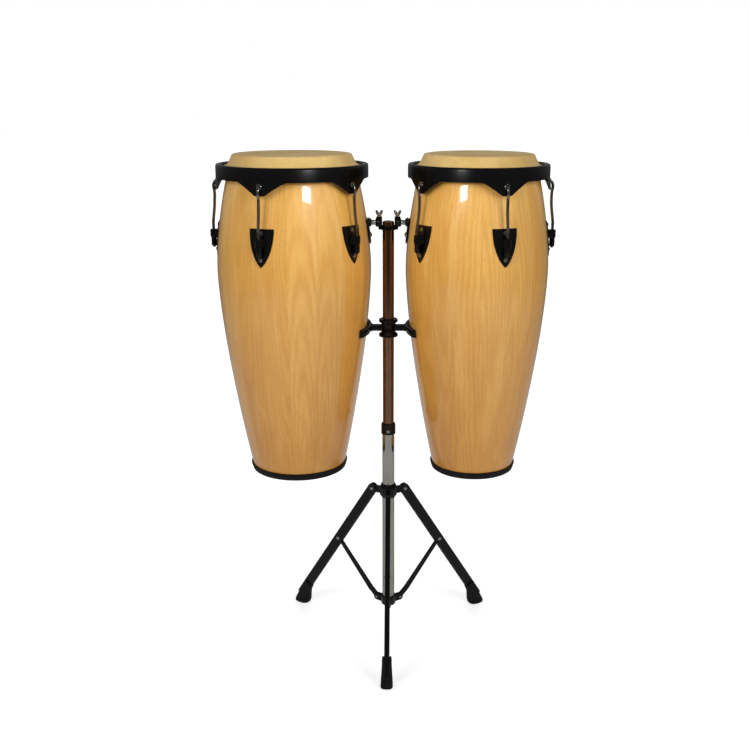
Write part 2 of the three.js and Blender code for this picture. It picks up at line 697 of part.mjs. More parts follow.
// The origin is the middle of the whole object's footprint, on the floor.
const bounds = new THREE.Box3().setFromObject(stand, true);
const middle = bounds.getCenter(new THREE.Vector3());
stand.position.set(-middle.x, -middle.y, -bounds.min.z);

export default stand;
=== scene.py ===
"""Two conga drums on a folding tripod stand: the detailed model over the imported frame.

Pieces are built in millimetres round the post's axis, which stands at x = 0, y = 0 with the floor at z = 0,
and are then put where the frame's post is. An angle round an axis is counted from -Y towards +X.
"""
import math

import bmesh
import bpy
from mathutils import Matrix, Vector


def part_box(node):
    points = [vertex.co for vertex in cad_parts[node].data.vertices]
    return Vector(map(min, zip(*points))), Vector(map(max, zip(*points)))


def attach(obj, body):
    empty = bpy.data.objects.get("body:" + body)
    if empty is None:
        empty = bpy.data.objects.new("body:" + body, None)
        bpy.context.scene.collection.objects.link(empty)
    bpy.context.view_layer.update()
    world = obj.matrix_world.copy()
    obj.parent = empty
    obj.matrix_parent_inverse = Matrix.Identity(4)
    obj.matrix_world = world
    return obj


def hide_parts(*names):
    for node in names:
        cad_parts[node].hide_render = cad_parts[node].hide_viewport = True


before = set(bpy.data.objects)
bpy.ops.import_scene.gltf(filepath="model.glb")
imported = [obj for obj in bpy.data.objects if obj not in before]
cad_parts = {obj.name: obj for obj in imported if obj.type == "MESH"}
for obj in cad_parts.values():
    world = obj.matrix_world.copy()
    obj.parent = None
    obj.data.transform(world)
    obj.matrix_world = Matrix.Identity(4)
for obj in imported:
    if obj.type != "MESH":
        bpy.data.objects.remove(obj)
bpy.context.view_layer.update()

# ---------------------------------------------------------------- driving dimensions, mm
MM = 0.001
ROUND = 160  # segments of a drum's round parts
GAP = 0.4
SHELL_WALL = 11
BELLY_AT = 0.65
SKIN = 2
LUGS = 5
RIM_TOP = 1113
RIM_BAND = 29
RIM_TAB = 27
RIM_WALL = 3
RIM_LIP = 13
TAB_HALF = math.radians(20)
TAB_TIP_HALF = math.radians(3.6)
TAB_FLARE = 3
ROD_R = 3.2
NUT_R = 6.3
HOOK_Z = 1076
BOSS_Z = 954
BOSS_HEIGHT = 17
BOSS_R = 7.6
PLATE_TOP = 991
PLATE_HEIGHT = 79
PLATE_HALF = 27
PLATE_THICK = 2.2
POST_R = 12.7
LOWER_R = 14.3
TUBE_WALL = 1.2
MOUNT_Z = 986
MOUNT_R = 5.4
SOCKET_R = 9.8
SOCKET_OUT = 28
SCREW_AT = 20
SHANK_R = 3.8  # every wing screw's shank
THREAD_R = 4.3  # and the bore it goes into
SUPPORT_Z = 751
SUPPORT_HALF = 20
CRADLE_HALF = math.radians(25)
CRADLE_HEIGHT = 17
CRADLE_THICK = 5
PAD_THICK = 4
CLAMP_Z = 500
CLAMP_TOP = 526
CLAMP_R = 16.7
HUB_R = 20
LEG_PIVOT = (43, 356)
FOOT_PIVOT = (30, 75)
BRACE_PIVOT = (141, 204)
LEG_DEPTH = 23
LEG_WIDTH = 11.6
LEG_WALL = 1.6
LEG_BELOW = 396
EAR_THICK = 7.4
BRACE_THICK = 5
BRACE_HALF = 6.5
BRACE_END_HALF = 4.6

LEG_LEAN = math.atan2(BRACE_PIVOT[0] - LEG_PIVOT[0], LEG_PIVOT[1] - BRACE_PIVOT[1])
QUARTER = math.pi / 2
SHARP = math.radians(38)  # a steeper fold between two faces is an edge


def middle(node):
    low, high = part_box(node)
    return (low + high) / 2


POST = Vector((middle("upper_tube").x, middle("upper_tube").y, 0))


class Drum:
    """One drum's sizes and places, in the stand's millimetres."""

    def __init__(self, side, sign, top, bottom, rim):
        low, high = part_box(f"{side}_shell")
        self.side, self.sign, self.top, self.bottom, self.rim = side, sign, top, bottom, rim
        self.low, self.high = low.z / MM, high.z / MM
        self.belly = (high.x - low.x) / 2 / MM
        self.x = ((low.x + high.x) / 2 - POST.x) / MM
        self.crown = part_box(f"{side}_head")[1].z / MM
        self.to_post = -sign * QUARTER
        self.lugs = [self.to_post + math.pi / LUGS + i * 2 * math.pi / LUGS for i in range(LUGS)]
        self.rod = self.radius(BOSS_Z - 20) + PLATE_THICK + 2 * GAP + NUT_R

    def radius(self, z):
        """The shell's outer radius at a height."""
        t = (z - self.low) / (self.high - self.low)
        if t < BELLY_AT:
            return self.belly - (self.belly - self.bottom) * ((BELLY_AT - t) / BELLY_AT) ** 1.5
        return self.belly - (self.belly - self.top) * ((t - BELLY_AT) / (1 - BELLY_AT)) ** 1.75

    def place(self, angle=0.0):
        """From a piece made at -Y of the drum's own axis to its place on the stand."""
        return Matrix.Translation((self.x, 0, 0)) @ Matrix.Rotation(angle, 4, "Z")


DRUMS = [Drum("left", -1, 130, 105, 164), Drum("right", 1, 120, 91.5, 152.5)]
LEGS = [("front", 0.0), ("right", 2 * math.pi / 3), ("left", 4 * math.pi / 3)]


# ---------------------------------------------------------------- shapes
class Shape:
    """A mesh in the making, in the stand's millimetres."""

    def __init__(self):
        self.mesh = bmesh.new()

    def face(self, corners):
        self.mesh.faces.new(corners).smooth = True

    def ring(self, points):
        return [self.mesh.verts.new(p) for p in points]

    def skin(self, rings, closed=False, caps=False):
        """Faces between rings of equal length; closed joins the last ring to the first."""
        pairs = list(zip(rings, rings[1:]))
        if closed:
            pairs.append((rings[-1], rings[0]))
        for a, b in pairs:
            for i in range(len(a)):
                j = (i + 1) % len(a)
                self.face([a[i], a[j], b[j], b[i]])
        if caps:
            self.face(rings[0])
            self.face(rings[-1])

    def lathe(self, profile, segments=48, at=Matrix.Identity(4)):
        """A profile of (radius, height) points turned round Z. It closes on itself or on the axis."""
        on_axis = profile[0][0] == 0
        turned = profile[1:-1] if on_axis else profile
        angles = [2 * math.pi * i / segments for i in range(segments)]
        rings = []
        for r, z in turned:
            rings.append(self.ring(at @ Vector((r * math.sin(a), -r * math.cos(a), z)) for a in angles))
        self.skin(rings, closed=not on_axis)
        if on_axis:
            for end, ring in ((profile[0], rings[0]), (profile[-1], rings[-1])):
                tip = self.mesh.verts.new(at @ Vector((0, 0, end[1])))
                for i in range(segments):
                    self.face([ring[i], ring[(i + 1) % segments], tip])

    def prism(self, outline, low, high, at=Matrix.Identity(4)):
        """An outline in X and Y, made thick from low to high along Z."""
        rings = [self.ring(at @ Vector((x, y, z)) for x, y in outline) for z in (low, high)]
        self.skin(rings, caps=True)

    def sweep(self, points, radius, sides=12, steps=8, at=Matrix.Identity(4), thread=None):
        """A round bar along a smooth curve in the plane x = 0; thread is (upper end, depth)."""
        line = smooth_line(points, steps)
        angles = [2 * math.pi * k / sides for k in range(sides)]
        side = Vector((1, 0, 0))
        rings = []
        for i, p in enumerate(line):
            ahead = line[min(i + 1, len(line) - 1)] - line[max(i - 1, 0)]
            out = side.cross(ahead).normalized()
            r = radius
            if thread and p.z < thread[0]:
                r -= thread[1] * (i % 2)
            rings.append(self.ring(at @ (p + r * (math.cos(a) * side + math.sin(a) * out)) for a in angles))
        self.skin(rings, caps=True)


def smooth_line(points, steps):
    """A Catmull-Rom curve through the points."""
    p = [Vector(q) for q in points]
    p = [2 * p[0] - p[1]] + p + [2 * p[-1] - p[-2]]
    line = []
    for a, b, c, d in zip(p, p[1:], p[2:], p[3:]):
        for i in range(steps):
            t = i / steps
            bend = (2 * a - 5 * b + 4 * c - d) * t**2 + (3 * b - a - 3 * c + d) * t**3
            line.append(0.5 * (2 * b + (c - a) * t + bend))
    return line + [p[-2]]


def arc(x, y, radius, start, end, steps=10):
    angles = [start + (end - start) * i / steps for i in range(steps + 1)]
    return [(x + radius * math.cos(a), y + radius * math.sin(a)) for a in angles]


def rounded(x0, y0, x1, y1, r, steps=4):
    """A rectangle with round corners."""
    return (
        arc(x1 - r, y0 + r, r, -QUARTER, 0, steps)
        + arc(x1 - r, y1 - r, r, 0, QUARTER, steps)
        + arc(x0 + r, y1 - r, r, QUARTER, 2 * QUARTER, steps)
        + arc(x0 + r, y0 + r, r, 2 * QUARTER, 3 * QUARTER, steps)
    )


def link(a, b, half, far_half=None, steps=14):
    """The outline of a straight bar with round ends about two points."""
    along = math.atan2(b[1] - a[1], b[0] - a[0])
    head = arc(*b, far_half or half, along - QUARTER, along + QUARTER, steps)
    return head + arc(*a, half, along + QUARTER, along + 3 * QUARTER, steps)


def cylinder(radius, low, high, edge=0.6):
    """The profile of a round bar with softened edges."""
    return [
        (0, low),
        (radius - edge, low),
        (radius - edge * 0.3, low + edge * 0.3),
        (radius, low + edge),
        (radius, high - edge),
        (radius - edge * 0.3, high - edge * 0.3),
        (radius - edge, high),
        (0, high),
    ]


def pipe(inner, outer, low, high, edge=0.4):
    return [
        (inner, low),
        (outer - edge, low),
        (outer, low + edge),
        (outer, high - edge),
        (outer - edge, high),
        (inner, high),
    ]


def dome(radius, height, base=0.0):
    """The profile of a low domed bolt or rivet head that stands on z = base."""
    cap = [(radius * math.cos(a), base + height * math.sin(a)) for a in (i * QUARTER / 6 for i in range(6))]
    return [(0, base - 1), (radius, base - 1)] + cap + [(0, base + height)]


def socket_head(radius, height, base=0.0):
    """A screw head with a hollow for its key."""
    return [
        (0, base - 1),
        (radius, base - 1),
        (radius, base + height * 0.7),
        (radius * 0.85, base + height),
        (radius * 0.5, base + height),
        (radius * 0.45, base + height * 0.4),
        (0, base + height * 0.4),
    ]


# Which way a shape made along Z is turned.
ALONG_X = Matrix.Rotation(QUARTER, 4, "Y")
OUT_FRONT = Matrix.Rotation(QUARTER, 4, "X")
OUT_BACK = Matrix.Rotation(-QUARTER, 4, "X")


def radial(angle=0.0):
    """From an outline of (radius, height), thick along Z, to the plane that holds the axis and -Y."""
    turned = Matrix(((0, 0, 1, 0), (-1, 0, 0, 0), (0, 1, 0, 0), (0, 0, 0, 1)))
    return Matrix.Rotation(angle, 4, "Z") @ turned


def leg_space(angle):
    """From a leg hanging straight down from z = 0 on the axis to its place."""
    lean = Matrix.Translation((0, -LEG_PIVOT[0], LEG_PIVOT[1])) @ Matrix.Rotation(-LEG_LEAN, 4, "X")
    return Matrix.Rotation(angle, 4, "Z") @ lean


def piece(name, shape, looks, body, *nodes, bevel=0.0, slot=None):
    """The finished object: it rides on a body and stands for the CAD nodes that it replaces."""
    mesh = bpy.data.meshes.new(name)
    bmesh.ops.recalc_face_normals(shape.mesh, faces=shape.mesh.faces)
    shape.mesh.to_mesh(mesh)
    shape.mesh.free()
    mesh.transform(Matrix.Translation(POST) @ Matrix.Scale(MM, 4))
    mesh.set_sharp_from_angle(angle=SHARP)
    for look in looks if isinstance(looks, list) else [looks]:
        mesh.materials.append(look)
    made = bpy.data.objects.new(name, mesh)
    bpy.context.scene.collection.objects.link(made)
    if bevel:
        soft = made.modifiers.new("edges", "BEVEL")
        soft.width = bevel * MM
        soft.segments = 3
        soft.limit_method = "ANGLE"
        soft.angle_limit = SHARP
        soft.harden_normals = True
    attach(made, body)
    if nodes:
        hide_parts(*nodes)


# ---------------------------------------------------------------- materials
def linear(red, green, blue):
    """A colour given as 0 to 255 as the eye sees it, in the renderer's own scale."""
    def channel(c):
        return ((c / 255 + 0.055) / 1.055) ** 2.4 if c > 10 else c / 255 / 12.92

    return (channel(red), channel(green), channel(blue), 1)


class Look:
    """A node material in the making."""

    def __init__(self, name, **values):
        self.made = bpy.data.materials.new(name)
        self.made.use_nodes = True
        self.tree = self.made.node_tree
        self.shader = self.tree.nodes["Principled BSDF"]
        for socket, value in values.items():
            self.shader.inputs[socket.replace("_", " ")].default_value = value
        self.place = self.node("ShaderNodeTexCoord").outputs["Object"]

    def node(self, kind, **settings):
        made = self.tree.nodes.new(kind)
        for key, value in settings.items():
            setattr(made, key, value)
        return made

    def put(self, socket, value):
        if isinstance(value, bpy.types.NodeSocket):
            self.tree.links.new(value, socket)
        else:
            socket.default_value = value

    def math(self, operation, a, b=0.0, c=0.0):
        made = self.node("ShaderNodeMath", operation=operation)
        for socket, value in zip(made.inputs, (a, b, c)):
            self.put(socket, value)
        return made.outputs[0]

    def moved(self, shift=(0, 0, 0), scale=(1, 1, 1)):
        made = self.node("ShaderNodeMapping")
        made.inputs["Location"].default_value = shift
        made.inputs["Scale"].default_value = scale
        self.put(made.inputs["Vector"], self.place)
        return made.outputs[0]

    def noise(self, scale, detail=3.0, vector=None, roughness=0.5):
        made = self.node("ShaderNodeTexNoise")
        made.inputs["Scale"].default_value = scale
        made.inputs["Detail"].default_value = detail
        made.inputs["Roughness"].default_value = roughness
        self.put(made.inputs["Vector"], vector or self.place)
        return made.outputs["Fac"]

    def ramp(self, value, *stops):
        made = self.node("ShaderNodeValToRGB")
        while len(made.color_ramp.elements) < len(stops):
            made.color_ramp.elements.new(0.5)
        for element, (place, color) in zip(made.color_ramp.elements, stops):
            element.position = place
            element.color = color if isinstance(color, tuple) else (color, color, color, 1)
        self.put(made.inputs[0], value)
        return made.outputs[0]

    def mix(self, share, a, b, blend="MIX"):
        made = self.node("ShaderNodeMix", data_type="RGBA", blend_type=blend)
        self.put(made.inputs[0], share)
        self.put(made.inputs[6], a)
        self.put(made.inputs[7], b)
        return made.outputs[2]

    def span(self, value, low, high):
        """A value of 0 to 1 moved to low to high."""
        return self.math("MULTIPLY_ADD", value, high - low, low)

    def set(self, socket, value):
        self.put(self.shader.inputs[socket], value)

    def bump(self, height, distance, strength=1.0):
        made = self.node("ShaderNodeBump")
        made.inputs["Strength"].default_value = strength
        made.inputs["Distance"].default_value = distance
        self.put(made.inputs["Height"], height)
        self.tree.links.new(made.outputs[0], self.shader.inputs["Normal"])


STAVES = 16


def oak(drum):
    """Lacquered staves round a drum's axis, each with its own tint and its own arched grain."""
    look = Look(f"{drum.side}_oak", Roughness=0.34, Coat_Weight=1.0, Coat_Roughness=0.035, Coat_IOR=1.5)
    centre = (-(drum.x * MM + POST.x), -POST.y, 0)
    turn = look.node("ShaderNodeTexGradient", gradient_type="RADIAL")
    look.put(turn.inputs[0], look.moved(centre))
    around = look.math("MULTIPLY", turn.outputs["Fac"], STAVES)
    stave = look.math("FLOOR", around)
    across = look.math("SUBTRACT", look.math("FRACT", around), 0.5)
    own = look.node("ShaderNodeTexWhiteNoise", noise_dimensions="1D")
    look.put(own.inputs["W"], look.math("ADD", stave, 3.7 if drum.sign < 0 else 41.3))
    tint = own.outputs["Value"]
    pith = look.node("ShaderNodeSeparateColor")
    look.put(pith.inputs[0], own.outputs["Color"])
    height = look.node("ShaderNodeSeparateXYZ")
    look.put(height.inputs[0], look.place)
    # A stave is sawn at a small slant through the growth rings, so they show as tall arches.
    wander = look.noise(5.0, 3.0, look.moved(scale=(1.4, 1.4, 0.8)))
    swing = look.math("ADD", look.span(wander, -0.3, 0.3), look.span(pith.outputs[2], -1.3, 1.3))
    crest = look.span(pith.outputs[0], 0.4, 1.2)
    rise = look.math("MULTIPLY", look.math("SUBTRACT", height.outputs["Z"], crest), 1.5)
    side = look.math("ADD", look.math("MULTIPLY", across, look.span(pith.outputs[1], 0.8, 1.4)), swing)
    ring = look.math("SQRT", look.math("ADD", look.math("POWER", side, 2.0), look.math("POWER", rise, 2.0)))
    wobble = look.span(look.noise(38.0, 4.0, look.moved(scale=(1, 1, 0.06))), -0.12, 0.12)
    lines = look.math("SINE", look.math("MULTIPLY", look.math("ADD", ring, wobble), 40.0))
    lines = look.span(lines, 0.5, 1.0)
    growth = look.ramp(look.math("MULTIPLY_ADD", lines, 0.5, 0.25), (0.35, 0.0), (0.78, 1.0))
    fibre = look.noise(420.0, 4.0, look.moved(scale=(1, 1, 0.025)), 0.7)
    pores = look.noise(900.0, 2.0, look.moved(scale=(1, 1, 0.045)))
    pores = look.ramp(pores, (0.56, 0.0), (0.66, 1.0))
    light, deep = linear(226, 180, 100), linear(188, 134, 52)
    body = look.mix(tint, light, linear(216, 164, 78))
    body = look.mix(look.math("MULTIPLY", growth, 0.36), body, deep)
    cloud = look.noise(3.2, 3.0, look.moved(scale=(2.2, 2.2, 0.8)))
    cloud = look.ramp(cloud, (0.35, 0.0), (0.7, 1.0))
    body = look.mix(look.math("MULTIPLY", cloud, 0.3), body, linear(200, 146, 66))
    streak = look.noise(30.0, 5.0, look.moved(scale=(1, 1, 0.045)), 0.62)
    streak = look.ramp(streak, (0.4, 0.0), (0.66, 1.0))
    body = look.mix(look.math("MULTIPLY", streak, 0.34), body, linear(188, 132, 56))
    pale = look.noise(36.0, 4.0, look.moved((0.31, 0.17, 0), (1, 1, 0.05)), 0.6)
    pale = look.ramp(pale, (0.52, 0.0), (0.7, 1.0))
    body = look.mix(look.math("MULTIPLY", pale, 0.36), body, linear(236, 196, 122))
    body = look.mix(look.math("MULTIPLY", fibre, 0.14), body, linear(170, 120, 50))
    body = look.mix(look.math("MULTIPLY", pores, 0.2), body, linear(146, 100, 48))
    # Painted shade: the colour is painted paler towards the head and deeper towards the floor, as a lamp
    # above would light it.
    climb = look.node("ShaderNodeMapRange")
    look.put(climb.inputs["Value"], height.outputs["Z"])
    climb.inputs["From Min"].default_value = (drum.low + 60) * MM
    climb.inputs["From Max"].default_value = (drum.high - 40) * MM
    painted_shade = look.ramp(climb.outputs[0], (0.0, linear(232, 214, 186)), (1.0, linear(255, 255, 255)))
    body = look.mix(1.0, body, painted_shade, "MULTIPLY")
    edge = look.math("GREATER_THAN", look.math("ABSOLUTE", across), 0.488)
    body = look.mix(look.math("MULTIPLY", edge, 0.22), body, linear(160, 110, 54))
    look.set("Base Color", body)
    look.bump(look.math("SUBTRACT", look.math("MULTIPLY", fibre, 0.3), edge), 0.00006, 0.5)
    return look.made


def bare_wood():
    look = Look("bare_wood", Roughness=0.75)
    fibre = look.noise(260.0, 5.0, look.moved(scale=(1, 1, 0.03)), 0.65)
    cloud = look.noise(7.0, 2.0)
    body = look.mix(fibre, linear(206, 170, 116), linear(158, 116, 66))
    look.set("Base Color", look.mix(look.math("MULTIPLY", cloud, 0.4), body, linear(140, 104, 62)))
    look.bump(fibre, 0.0003, 0.6)
    return look.made


def rawhide():
    """Stretched hide: pale and mottled, with faint veins and a slightly waxy surface."""
    look = Look("rawhide", Roughness=0.42, Coat_Weight=0.25, Coat_Roughness=0.3, Subsurface_Weight=0.06)
    look.shader.inputs["Subsurface Scale"].default_value = 0.002
    blotch = look.ramp(look.noise(9.0, 5.0, None, 0.6), (0.35, 0.0), (0.68, 1.0))
    speck = look.noise(160.0, 4.0, None, 0.65)
    veins = look.node("ShaderNodeTexVoronoi", feature="DISTANCE_TO_EDGE")
    veins.inputs["Scale"].default_value = 26.0
    bent = look.node("ShaderNodeVectorMath", operation="MULTIPLY_ADD")
    warp = look.node("ShaderNodeTexNoise")
    warp.inputs["Scale"].default_value = 12.0
    look.put(bent.inputs[0], warp.outputs["Color"])
    bent.inputs[1].default_value = (0.05, 0.05, 0.05)
    look.put(bent.inputs[2], look.place)
    look.put(veins.inputs["Vector"], bent.outputs[0])
    vein = look.ramp(veins.outputs["Distance"], (0.0, 1.0), (0.09, 0.0))
    body = look.mix(blotch, linear(216, 186, 122), linear(190, 156, 90))
    body = look.mix(look.math("MULTIPLY", speck, 0.35), body, linear(168, 134, 74))
    body = look.mix(look.math("MULTIPLY", vein, 0.14), body, linear(156, 118, 66))
    look.set("Base Color", body)
    look.set("Roughness", look.span(blotch, 0.36, 0.52))
    relief = look.math("ADD", look.math("MULTIPLY", speck, 0.6), look.math("MULTIPLY", vein, 0.3))
    look.bump(relief, 0.0002, 0.5)
    return look.made


def black_coat():
    """Glossy black paint with a fine orange peel and a little wear."""
    look = Look("black_coat", Metallic=0.0, Coat_Weight=0.15, Coat_Roughness=0.06, Specular_IOR_Level=0.2)
    peel = look.noise(700.0, 2.0)
    smear = look.noise(30.0, 4.0)
    look.set("Base Color", look.mix(smear, linear(2, 2, 2), linear(6, 5, 5)))
    look.set("Roughness", look.span(smear, 0.2, 0.38))
    look.bump(peel, 0.00008, 0.35)
    return look.made


def bright_metal(name, color, low, high, lengthwise):
    """Plated metal: fine polishing lines, stretched along Z for a tube, and faint smears."""
    look = Look(name, Metallic=1.0, Anisotropic=0.0)
    smear = look.noise(24.0, 4.0)
    lines = look.noise(900.0, 3.0, look.moved(scale=(1, 1, lengthwise)), 0.7)
    look.set("Base Color", look.mix(smear, linear(*color), linear(*[c * 0.86 for c in color])))
    look.set("Roughness", look.span(look.math("MULTIPLY", smear, lines), low, high))
    look.bump(lines, 0.00001, 0.15)
    return look.made


def rubber():
    look = Look("rubber", Specular_IOR_Level=0.35)
    grain = look.noise(1100.0, 3.0)
    dust = look.noise(45.0, 5.0, None, 0.65)
    dusty = look.ramp(dust, (0.45, 0.0), (0.8, 1.0))
    look.set("Base Color", look.mix(dusty, linear(7, 7, 7), linear(26, 25, 24)))
    look.set("Roughness", look.span(dust, 0.55, 0.85))
    look.bump(grain, 0.00012, 0.5)
    return look.made


HIDE = rawhide()
BARE = bare_wood()
BLACK = black_coat()
LOWER_METAL = bright_metal("chrome", (190, 188, 178), 0.05, 0.22, 0.02)
ROD_METAL = bright_metal("rod_plate", (158, 152, 142), 0.08, 0.26, 0.05)
# Painted reflection: the upper tube's plating is given a darker, browner colour for the dark surroundings
# it reflects.
UPPER_METAL = bright_metal("upper_chrome_painted_reflection", (134, 104, 84), 0.04, 0.18, 0.02)
PLATED = bright_metal("plated_steel", (176, 176, 170), 0.14, 0.42, 1.0)
RUBBER = rubber()


# ---------------------------------------------------------------- the drums
def wall(drum, start, end, steps, offset=0.0):
    heights = [start + (end - start) * i / steps for i in range(steps + 1)]
    return [(drum.radius(z) + offset, z) for z in heights]


def shell(drum):
    made = Shape()
    top = drum.high
    straight = top - 18  # the bearing edge is shaped above this height
    crest = drum.top - 9.5
    edge = [
        (drum.top - 1, top - 9),
        (drum.top - 2.2, top - 5),
        (drum.top - 4.5, top - 2.3),
        (drum.top - 7, top - 0.6),
        (crest, top),
        (drum.top - 11.3, top - 1),
        (drum.top - 12, top - 3),
    ]
    inner = wall(drum, straight, drum.low, 30, -SHELL_WALL)
    made.lathe(wall(drum, drum.low, straight, 60) + edge + inner, ROUND, drum.place())
    # The lacquered outside has the first material and the bare inside the second.
    for face in made.mesh.faces:
        centre = face.calc_center_median()
        out = math.hypot(centre.x - drum.x, centre.y)
        border = drum.radius(centre.z) - SHELL_WALL / 2 if centre.z < straight else crest
        face.material_index = 1 if out < border else 0
    name, looks = f"{drum.side}_stave_shell", [oak(drum), BARE]
    piece(name, made, looks, f"{drum.side}_drum", f"{drum.side}_shell", slot="lacquered_oak")


def bottom_ring(drum):
    made = Shape()
    low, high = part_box(f"{drum.side}_bottom_ring")
    floor, top = low.z / MM, high.z / MM
    r = drum.bottom + GAP
    slope = drum.radius(drum.low + 13) - drum.bottom
    made.lathe(
        [
            (r - 13, floor + 0.8),
            (r - 12.2, floor),
            (r + 0.6, floor),
            (r + 2, floor + 1),
            (r + 2.6, floor + 2.5),
            (r + slope + 2.9, top - 2.5),
            (r + slope + 2.4, top - 0.7),
            (r + slope + 1.2, top),
            (r + slope, top - 0.4),
            (r, drum.low - GAP),
            (r - 13, drum.low - GAP),
        ],
        ROUND,
        drum.place(),
    )
    name, node = f"{drum.side}_bottom_band", f"{drum.side}_bottom_ring"
    piece(name, made, RUBBER, f"{drum.side}_drum", node, slot="rubber")


def head_line(drum, inset):
    """Down the skin from its flat playing face over the collar to the flesh hoop, moved in by inset."""
    hoop = drum.rim - RIM_LIP + 2
    # Each point is a radius, the share of inset that goes inwards, and a height.
    points = [
        (drum.top - 8, 0, drum.crown),
        (drum.top - 1.5, 0.4, drum.crown - 2.2),
        (drum.top + 3, 0.8, drum.crown - 12),
        (drum.top + 10, 1, drum.crown - 23),
        (hoop - 2, 0.3, RIM_TOP - 5.4),
        (hoop + 4, 0.4, RIM_TOP - 6.5),
        (hoop + 6, 1, RIM_TOP - 9),
        (hoop + 6, 1, RIM_TOP - 16),
    ]
    line = smooth_line([(r - inset * share, 0, z - inset * (1.2 - share)) for r, share, z in points], 5)
    return [(p.x, min(p.z, drum.crown - inset)) for p in line]


def head(drum):
    made = Shape()
    thick = SKIN * 0.8
    face = [drum.top * share for share in (0.2, 0.4, 0.6, 0.75, 0.86)]
    top = [(r, drum.crown) for r in face] + head_line(drum, 0)
    under = head_line(drum, thick)[::-1] + [(r, drum.crown - thick) for r in reversed(face)]
    made.lathe([(0, drum.crown)] + top + under + [(0, drum.crown - thick)], ROUND, drum.place())
    piece(f"{drum.side}_skin", made, HIDE, f"{drum.side}_drum", f"{drum.side}_head", slot="rawhide")


def tab_share(angle):
    """How far down its tab the rim's lower edge lies, from 0 to 1."""
    share = max(0.0, min(1.0, (TAB_HALF - abs(angle)) / (TAB_HALF - TAB_TIP_HALF)))
    return share**1.25


def rim(drum):
    """The counterhoop: a rolled lip, a band and a pointed tab over each lug."""
    made = Shape()
    steps = 60 * LUGS
    low = RIM_TOP - RIM_BAND
    out, inner = drum.rim, drum.rim - RIM_WALL
    rings = []
    for i in range(steps):
        angle = 2 * math.pi * i / steps
        nearest = min(((angle - lug + math.pi) % (2 * math.pi) - math.pi for lug in drum.lugs), key=abs)
        share = tab_share(nearest)
        tip = low - RIM_TAB * share
        flare = TAB_FLARE * share
        profile = [
            (drum.rim - RIM_LIP, RIM_TOP - 4.4),
            (inner - 1, RIM_TOP - 4.6),
            (inner, RIM_TOP - 6),
            (inner, low),
            (inner + flare * 0.5, (low + tip) / 2),
            (inner + flare, tip + 0.8),
            (inner + flare + 0.8, tip),
            (out + flare - 0.7, tip),
            (out + flare, tip + 0.9),
            (out + flare * 0.5, (low + tip) / 2),
            (out, low + 1),
            (out, RIM_TOP - 5),
            (out - 0.5, RIM_TOP - 2),
            (out - 2, RIM_TOP - 0.5),
            (out - 4, RIM_TOP),
            (drum.rim - RIM_LIP + 2, RIM_TOP - 0.4),
            (drum.rim - RIM_LIP + 0.4, RIM_TOP - 1.6),
        ]
        place = drum.place(angle)
        rings.append(made.ring(place @ Vector((0, -r, z)) for r, z in profile))
    made.skin(rings, closed=True)
    body = f"{drum.side}_rim"
    piece(f"{drum.side}_counterhoop", made, BLACK, body, body, slot="black_metal")


def hugging_plate(made, drum, angle, top, height, half_width, thick, rows=26, columns=12):
    """A plate that lies on the shell, with a pillowed face; half_width gives its outline by depth."""
    place = drum.place(angle)
    faces = []
    for outside in (True, False):
        grid = []
        for i in range(rows + 1):
            depth = height * i / rows
            z = top - depth
            half = half_width(depth)
            line = []
            for j in range(columns + 1):
                s = 2 * j / columns - 1
                r = drum.radius(z) + GAP
                if outside:
                    edge = max(abs(s) ** 8, (1 - 2 * min(i, rows - i) / rows) ** 16)
                    r += thick * (1 - 0.45 * edge)
                turn = s * half / r
                line.append(place @ Vector((r * math.sin(turn), -r * math.cos(turn), z)))
            grid.append(made.ring(line))
        faces.append(grid)
        for a, b in zip(grid, grid[1:]):
            for j in range(columns):
                made.face([a[j], a[j + 1], b[j + 1], b[j]])
    front, back = faces
    edge = [(0, j) for j in range(columns)] + [(i, columns) for i in range(rows)]
    edge += [(rows, columns - j) for j in range(columns)] + [(rows - i, 0) for i in range(rows)]
    for (i, j), (k, m) in zip(edge, edge[1:] + edge[:1]):
        made.face([front[i][j], front[k][m], back[k][m], back[i][j]])


def shield(depth):
    """Half the width of a lug plate, from its straight top edge to its point."""
    return max(0.5, PLATE_HALF * max(0.0, 1 - (depth / PLATE_HEIGHT) ** 2.2) ** 0.8)


def surface(drum, angle, z, out):
    """On the shell at a height, looking outwards: Z of the shape points away from the drum."""
    return drum.place(angle) @ Matrix.Translation((0, -drum.radius(z) - GAP - out, z)) @ OUT_FRONT


def lug(drum, number, angle):
    made = Shape()
    hugging_plate(made, drum, angle, PLATE_TOP, PLATE_HEIGHT, shield, PLATE_THICK)
    name = f"{drum.side}_lug_{number}"
    piece(name, made, BLACK, f"{drum.side}_drum", f"{drum.side}_lug_plate_{number}", slot="black_metal")
    waist, root = -drum.rod + 4, -drum.radius(BOSS_Z) - GAP - 1
    boss = Shape()
    outline = arc(0, -drum.rod, BOSS_R, math.pi, 2 * math.pi, 18)
    outline += [(BOSS_R + 1, waist), (BOSS_R + 3.5, root), (-BOSS_R - 3.5, root), (-BOSS_R - 1, waist)]
    boss.prism(outline, BOSS_Z, BOSS_Z + BOSS_HEIGHT, drum.place(angle))
    piece(f"{name}_boss", boss, BLACK, f"{drum.side}_drum", bevel=1.2, slot="black_metal")
    bolts = Shape()
    for z in (PLATE_TOP - 9, PLATE_TOP - 63):
        bolts.lathe(socket_head(3.6, 2.4), 20, surface(drum, angle, z, PLATE_THICK))
        bolts.lathe(cylinder(4.6, -0.8, 0.5, 0.2), 24, surface(drum, angle, z, PLATE_THICK))
    piece(f"{name}_bolts", bolts, PLATED, f"{drum.side}_drum", slot="steel")


